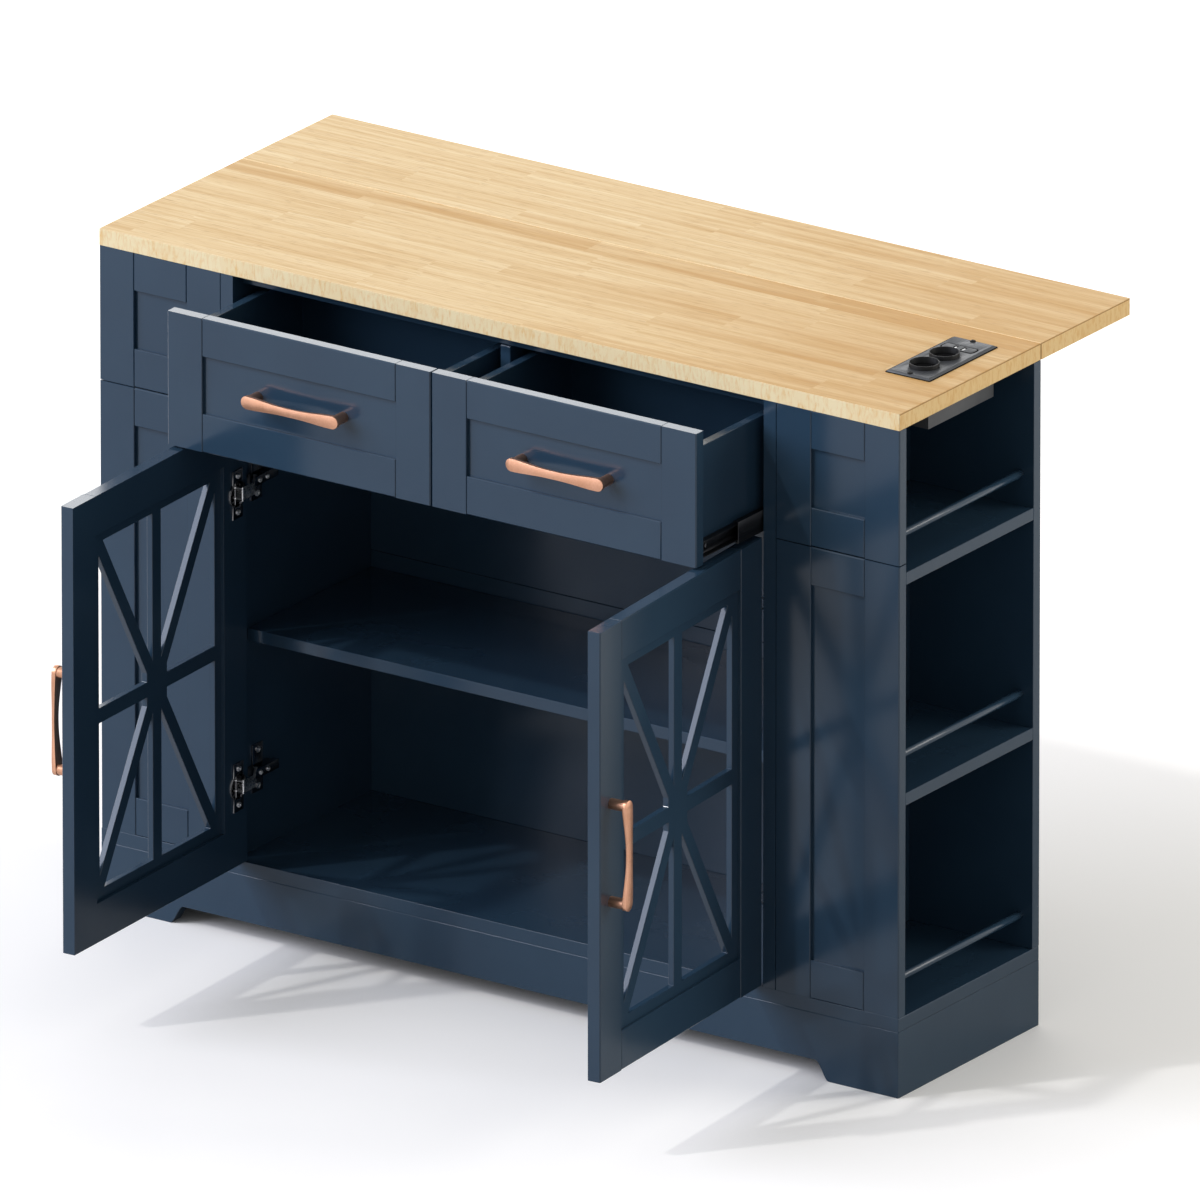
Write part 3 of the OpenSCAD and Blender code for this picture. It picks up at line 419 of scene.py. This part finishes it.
for nodeName, solid in frame["nodes"].items():
    kind = next((k for k, names in edgeKind.items() if nodeName in names), "board")
    dressNode(nodeName, solid, softEdges[kind])
print("solids dressed:", len(frame["nodes"]))


def keepPiece(name, mesh, finish, body):
    # the mesh is drawn in millimetres
    bmesh.ops.transform(mesh, matrix=Matrix.Scale(0.001, 4), verts=mesh.verts)
    data = bpy.data.meshes.new(name)
    mesh.to_mesh(data)
    mesh.free()
    data.materials.append(finish)
    piece = bpy.data.objects.new(name, data)
    bpy.context.scene.collection.objects.link(piece)
    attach(piece, body)


# where the doors, drawers and hinges stand, in millimetres, as in the part's source
island = {
    "front": -156, "hinge": 396.5, "hingeHeights": (213, 601),
    "open": {"left": 88, "right": 94}, "drawerOut": 145, "top": 900,
}


def onDoor(side, point, direction):
    # a point and a direction on a shut left-hand door, carried to the door as it stands
    turn = Matrix.Rotation(-math.radians(island["open"][side]), 3, "Z")
    spot = turn @ Vector(point) + Vector((-island["hinge"], island["front"], 0))
    way = turn @ Vector(direction)
    flip = 1 if side == "left" else -1
    return Vector((spot.x * flip, spot.y, spot.z)), Vector((way.x * flip, way.y, way.z))


# a head is made from a grid 2 wide, of 5 by 5 faces
screwHead = {
    "cross": (0.1, 0.6),       # its faces lie this near an axis and this near the middle
    "rim": 0.9,                # its outer points lie past this
    "flat": 0.85,              # how far the dome reaches before it falls to the rim, in radii
    "dome": 0.8,               # how far the dome rises over its shoulder
    "lip": 0.05,               # and how far the rim does
    "over": 0.12,              # how far the rim stands outside the plain head under it
    "wall": 0.035,             # slope of the cross's walls, in radii
    "recess": 0.7,             # depth of the driver's cross
}


def addCrossHead(mesh, spot, way, radius, shoulder):
    # a grid pulled round and domed, its middle cross pushed in
    h = screwHead
    before = set(mesh.verts)
    bmesh.ops.create_grid(mesh, x_segments=5, y_segments=5, size=1)
    verts = [v for v in mesh.verts if v not in before]
    faces = {f for v in verts for f in v.link_faces}
    near, reach = h["cross"]
    cross = [f for f in faces if min(abs(c) for c in f.calc_center_median()[:2]) < near
             and max(abs(c) for c in f.calc_center_median()[:2]) < reach]
    rim = [e for e in {e for v in verts for e in v.link_edges} if e.is_boundary]
    for v in verts:
        if max(abs(v.co.x), abs(v.co.y)) > h["rim"]:
            v.co = v.co.normalized() * (radius + h["over"])
            v.co.z = shoulder + h["lip"]
        else:
            v.co = v.co * (radius * h["flat"])
            v.co.z = shoulder + h["dome"]
    wall = bmesh.ops.extrude_edge_only(mesh, edges=rim)["geom"]
    foot = [v for v in wall if isinstance(v, bmesh.types.BMVert)]
    for v in foot:
        v.co.z = 0
    bmesh.ops.holes_fill(mesh, edges=[e for e in wall if isinstance(e, bmesh.types.BMEdge)], sides=0)
    mesh.normal_update()
    bmesh.ops.inset_region(mesh, faces=cross, thickness=radius * h["wall"], depth=-h["recess"])
    made = [v for v in mesh.verts if v not in before]
    place = Matrix.Translation(spot) @ way.to_track_quat("Z", "Y").to_matrix().to_4x4()
    bmesh.ops.transform(mesh, matrix=place, verts=made)


def makeScrews(name, slot, body, spots, f):
    mesh = bmesh.new()
    for spot, way in spots:
        addCrossHead(mesh, Vector(spot), Vector(way), f["radius"], f["shoulder"])
    keepPiece(name, mesh, finishOfSlot[slot], body)


# radius and shoulder of each head, and where it sits, in millimetres
screws = {
    "cup": {"radius": 3.6, "shoulder": 1.6, "onDoor": (22.5, 20), "apart": (-24, 24)},
    "wallPlate": {"radius": 4, "shoulder": 1.8, "x": 396, "y": -107, "apart": (-24, 24)},
    "arm": {"radius": 3, "shoulder": 1.4, "x": 382.5, "y": (-120, -104)},
    "runner": {"radius": 3.6, "shoulder": 1.6, "z": 718.5, "shut": -136, "along": (14, 125, 230),
               "sides": ((386.5, 1), (19, -1))},      # x, and the way that the head looks
    "coverPlate": {"radius": 3.4, "shoulder": 0.8, "x": 532, "y": (-32.5, 106.5), "z": 903.2},
    "bracket": {"radius": 3, "shoulder": 0, "x": (-407, 407), "y": 157.5, "z": 785},
}


def screwSide(side, sign):
    f = screws["cup"]
    spots = [onDoor(side, (*f["onDoor"], z + step), (0, 1, 0))
             for z in island["hingeHeights"] for step in f["apart"]]
    makeScrews(side + "CupScrews", "nickel_steel", side + "_door", spots, f)
    f = screws["wallPlate"]
    spots = [((sign * f["x"], f["y"], z + step), (-sign, 0, 0))
             for z in island["hingeHeights"] for step in f["apart"]]
    makeScrews(side + "WallPlateScrews", "nickel_steel", "carcass", spots, f)
    f = screws["arm"]
    spots = [((sign * f["x"], y, z), (-sign, 0, 0)) for z in island["hingeHeights"] for y in f["y"]]
    makeScrews(side + "ArmScrews", "nickel_steel", "carcass", spots, f)
    f = screws["runner"]
    spots = [((sign * x, f["shut"] + y - island["drawerOut"], f["z"]), (sign * way, 0, 0))
             for x, way in f["sides"] for y in f["along"]]
    makeScrews(side + "RunnerScrews", "black_zinc", side + "_drawer", spots, f)


def screwTop(plate, bracket):
    spots = [((plate["x"], y, plate["z"]), (0, 0, 1)) for y in plate["y"]]
    makeScrews("coverPlateScrews", "black_coat", "carcass", spots, plate)
    spots = [((x, bracket["y"], bracket["z"]), (0, 1, 0)) for x in bracket["x"]]
    makeScrews("bracketScrews", "black_coat", "carcass", spots, bracket)


screwSide("left", -1)
screwSide("right", 1)
screwTop(screws["coverPlate"], screws["bracket"])
print("screws made")


def addBlock(mesh, middle, size, edge, corner=0):
    # a box by its middle and size, its upright corners and then its edges rounded
    place = Matrix.Translation(middle) @ Matrix.Diagonal((*size, 1))
    edges = {e for v in bmesh.ops.create_cube(mesh, size=1, matrix=place)["verts"] for e in v.link_edges}
    if corner:
        upright = [e for e in edges if abs(e.verts[0].co.z - e.verts[1].co.z) > size[2] / 2]
        made = bmesh.ops.bevel(mesh, geom=upright, offset=corner, offset_type="OFFSET", segments=6,
                               profile=0.5, affect="EDGES", material=-1)
        edges = {e for e in edges if e.is_valid} | {e for f in made["faces"] for e in f.edges}
        edges = {e for e in edges if abs(e.verts[0].co.z - e.verts[1].co.z) < size[2] / 2}
    bmesh.ops.bevel(mesh, geom=list(edges), offset=edge, offset_type="OFFSET", segments=2, profile=0.5,
                    affect="EDGES", material=-1)


def makeBlocks(name, blocks, edge, corner, finish):
    mesh = bmesh.new()
    for middle, size in blocks:
        addBlock(mesh, middle, size, edge, corner)
    keepPiece(name, mesh, finish, "carcass")


# in millimetres; each size is along x, along y and in height
powerTrim = {
    "plate": (532, 37),
    # a black rubber gasket under the plate, standing out past it as a painted shadow line along the
    # plate's edges
    "shadowGasket": (66.8, 151.8, 0.9), "shadowGasketEdge": 0.25, "shadowGasketCorner": 2,   # rubber under the plate
    "insert": (532, 76.5),
    # a black ring round the usb insert, drawn as its dark outline
    "outlineRing": (49.8, 18.8, 1.2), "outlineRingTop": 903.4, "outlineRingEdge": 0.12, "outlineRingCorner": 5.7,
    "ports": (525.7, 538.3), "portTop": 903.6, "portEdge": 0.2,
    # a black block in each port, a painted shade for the port's dark inside
    "portShade": (4.8, 11.4, 5), "portShadeDepth": 0.6,              # the black inside of a port
    "tongue": (2.3, 6.8, 4), "tongueDepth": 0.1,           # the white contact carrier
    "tongueAside": (1.15, -1.6),
}


def makePowerTrim(f):
    rubberAndShade = plasticOf["blackRubberAndShade"]
    shadowGasket = [((*f["plate"], island["top"] + f["shadowGasket"][2] / 2), f["shadowGasket"])]
    makeBlocks("coverGasketShadow", shadowGasket, f["shadowGasketEdge"], f["shadowGasketCorner"], rubberAndShade)
    outlineRing = [((*f["insert"], f["outlineRingTop"] - f["outlineRing"][2] / 2), f["outlineRing"])]
    makeBlocks("insertOutline", outlineRing, f["outlineRingEdge"], f["outlineRingCorner"], rubberAndShade)
    y, (right, back) = f["insert"][1], f["tongueAside"]
    z = f["portTop"] - f["portShadeDepth"] - f["portShade"][2] / 2
    portShades = [((x, y, z), f["portShade"]) for x in f["ports"]]
    makeBlocks("portShadeBlocks", portShades, f["portEdge"], 0, rubberAndShade)
    z = f["portTop"] - f["tongueDepth"] - f["tongue"][2] / 2
    tongues = [((x + right, y + back, z), f["tongue"]) for x in f["ports"]]
    makeBlocks("portTongues", tongues, f["portEdge"], 0, plasticOf["whiteNylon"])


makePowerTrim(powerTrim)
print("trim of the power unit made")


studio = {
    "sun": (0.5637, 0.728, -1),   # the way the key light travels
    "sunPower": 0.6,
    "sunAngle": 2,
    "sky": 0.38,                  # what the white room gives matt surfaces
    "floorSize": 14,
    "floorColour": "#F7F5F1",
    "floorBounce": "#8C8C8E",     # what the floor throws back onto the object
    "floorRoughness": 0.9,
    "floorLift": (0.2, 0.34),     # white added to the floor near the object and far away
    "liftFade": (0.9, 2.2),       # metres from the middle where the floor turns plain white
    "mirrorFade": (2.2, 4),       # the same for the floor as reflections see it
    "contact": 0.4,               # metres over which the lift dies away against the object
    "lampsLookAt": (0, 0, 0.5),
    # direction from the island, distance, width and height, brightness, colour
    "softboxes": {
        "front": {"from": (-0.68, -0.6, 0.46), "distance": 16, "size": (12.8, 9.6),
                  "light": 6.4, "colour": "#E9EDFF"},
        "rear": {"from": (-0.53, 0.776, 0.342), "distance": 6, "size": (4, 2),
                 "light": 2.8, "colour": "#FFFFFF"},
        "side": {"from": (0.8, 0.5, 0.33), "distance": 8, "size": (4, 4),
                 "light": 4.6, "colour": "#FFFBF4"},
    },
}


def makeFloor(s):
    mesh = bmesh.new()
    bmesh.ops.create_grid(mesh, x_segments=1, y_segments=1, size=s["floorSize"])
    data = bpy.data.meshes.new("floor")
    mesh.to_mesh(data)
    mesh.free()
    floor = bpy.data.objects.new("floor", data)
    bpy.context.scene.collection.objects.link(floor)

    # a pale matt floor, greyer as the object's matt surfaces meet it
    material, tree, shader, place = newMaterial("studioFloor")
    rays = addNode(tree, "LightPath")
    pale = addNode(tree, "Mix", {"data_type": "RGBA", 6: s["floorColour"], 7: s["floorBounce"]},
                   {0: (rays, "Is Diffuse Ray")})
    tree.links.new(pale.outputs[2], shader.inputs["Base Color"])
    shader.inputs["Roughness"].default_value = s["floorRoughness"]
    shader.inputs["Specular IOR Level"].default_value = 0

    # white added for the camera, less against the object, and for reflections far away
    reach = addNode(tree, "VectorMath", {"operation": "LENGTH"}, {0: place})
    near, far = s["floorLift"]
    start, end = s["liftFade"]
    lift = addNode(tree, "MapRange", {"From Min": start, "From Max": end, "To Min": near, "To Max": far},
                   {"Value": (reach, "Value")})
    clear = addNode(tree, "AmbientOcclusion", {"samples": 8, "Distance": s["contact"]})
    lift = addNode(tree, "Math", {"operation": "MULTIPLY"}, {0: lift, 1: (clear, "AO")})
    start, end = s["mirrorFade"]
    farOnly = addNode(tree, "MapRange", {"From Min": start, "From Max": end, "To Max": far},
                      {"Value": (reach, "Value")})
    mirrored = addNode(tree, "Math", {"operation": "MAXIMUM"},
                       {0: (rays, "Is Glossy Ray"), 1: (rays, "Is Transmission Ray")})
    mirrored = addNode(tree, "Math", {"operation": "MULTIPLY"}, {0: mirrored, 1: farOnly})
    lift = addNode(tree, "Math", {"operation": "MULTIPLY_ADD"},
                   {0: (rays, "Is Camera Ray"), 1: lift, 2: mirrored})
    white = addNode(tree, "Emission", None, {"Strength": lift})
    surface = addNode(tree, "AddShader", None, {0: shader, 1: white})
    tree.links.new(surface.outputs[0], tree.nodes["Material Output"].inputs["Surface"])
    data.materials.append(material)


def addLamp(data, way, location):
    lamp = bpy.data.objects.new(data.name, data)
    lamp.location = location
    lamp.rotation_mode = "QUATERNION"
    lamp.rotation_quaternion = way.to_track_quat("-Z", "Y")
    bpy.context.scene.collection.objects.link(lamp)


def makeLight(s):
    sun = bpy.data.lights.new("key", "SUN")
    sun.energy, sun.angle = s["sunPower"], math.radians(s["sunAngle"])
    addLamp(sun, Vector(s["sun"]), (0, 0, 0))
    for name, box in s["softboxes"].items():
        area = bpy.data.lights.new(name, "AREA")
        area.shape, (area.size, area.size_y) = "RECTANGLE", box["size"]
        area.color = toLinear(box["colour"])[:3]
        area.energy = box["light"] * math.pi * area.size * area.size_y
        way = Vector(box["from"]).normalized()
        addLamp(area, -way, Vector(s["lampsLookAt"]) + way * box["distance"])

    # a plain white room for the camera and for reflections, dimmer for matt surfaces
    world = bpy.data.worlds.new("studio")
    world.use_nodes = True
    tree = world.node_tree
    rays = addNode(tree, "LightPath")
    mirrored = addNode(tree, "Math", {"operation": "MAXIMUM"},
                       {0: (rays, "Is Glossy Ray"), 1: (rays, "Is Transmission Ray")})
    seen = addNode(tree, "Math", {"operation": "MAXIMUM"}, {0: (rays, "Is Camera Ray"), 1: mirrored})
    power = addNode(tree, "MapRange", {"To Min": s["sky"]}, {"Value": seen})
    background = tree.nodes["Background"]
    background.inputs["Color"].default_value = (1, 1, 1, 1)
    tree.links.new(power.outputs[0], background.inputs["Strength"])
    bpy.context.scene.world = world


makeFloor(studio)
print("floor laid")
makeLight(studio)
print("lamps hung:", 1 + len(studio["softboxes"]))
bpy.context.scene.view_settings.view_transform = "Standard"
